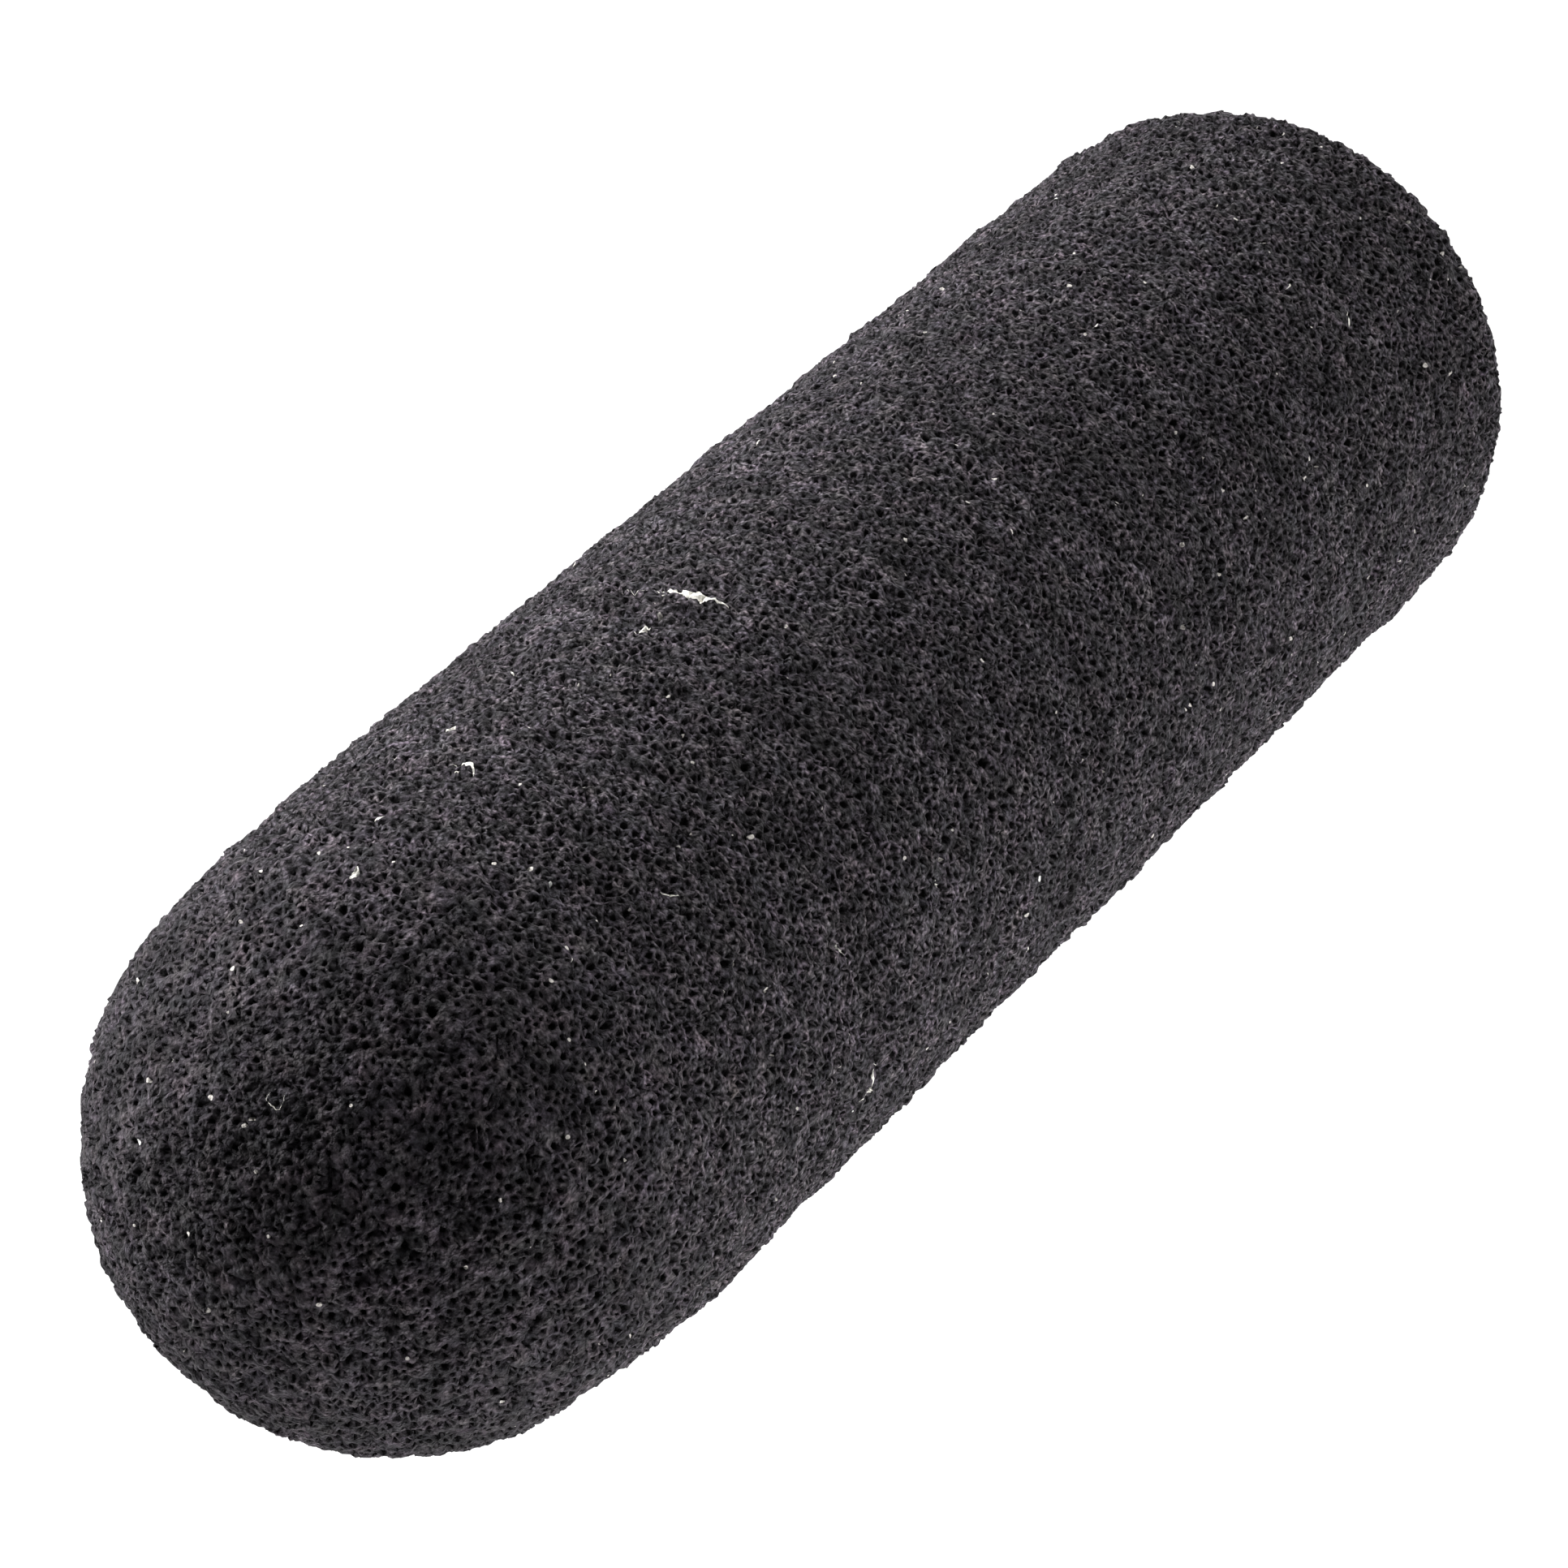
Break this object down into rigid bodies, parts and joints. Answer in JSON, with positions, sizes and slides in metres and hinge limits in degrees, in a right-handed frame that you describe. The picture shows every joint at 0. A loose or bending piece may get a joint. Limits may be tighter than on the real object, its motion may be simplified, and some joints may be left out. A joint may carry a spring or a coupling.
{
  "type": "blending stump",
  "caption": "Round-nosed rod of fine black foam on a stiff wooden core, for smudging pencil, charcoal or pastel; flat back that it stands on.",
  "frame": {"origin": "centre of the flat back face, which the stump stands on", "axes": "+Z along the rod's axis from the back face to the round nose; +X and +Y across it, and any turn about Z looks the same"},
  "size_m": [0.012, 0.012, 0.048],
  "materials": {
    "foam": "matte, fine open cells, turned to shape",
    "core": "plain sanded birch",
    "glue": "dried glue film"
  },
  "bodies": {
    "root": {"foam_body": "foam", "back_plug": "foam", "core_rod": "core", "core_glue": "glue"}
  },
  "joints": []
}
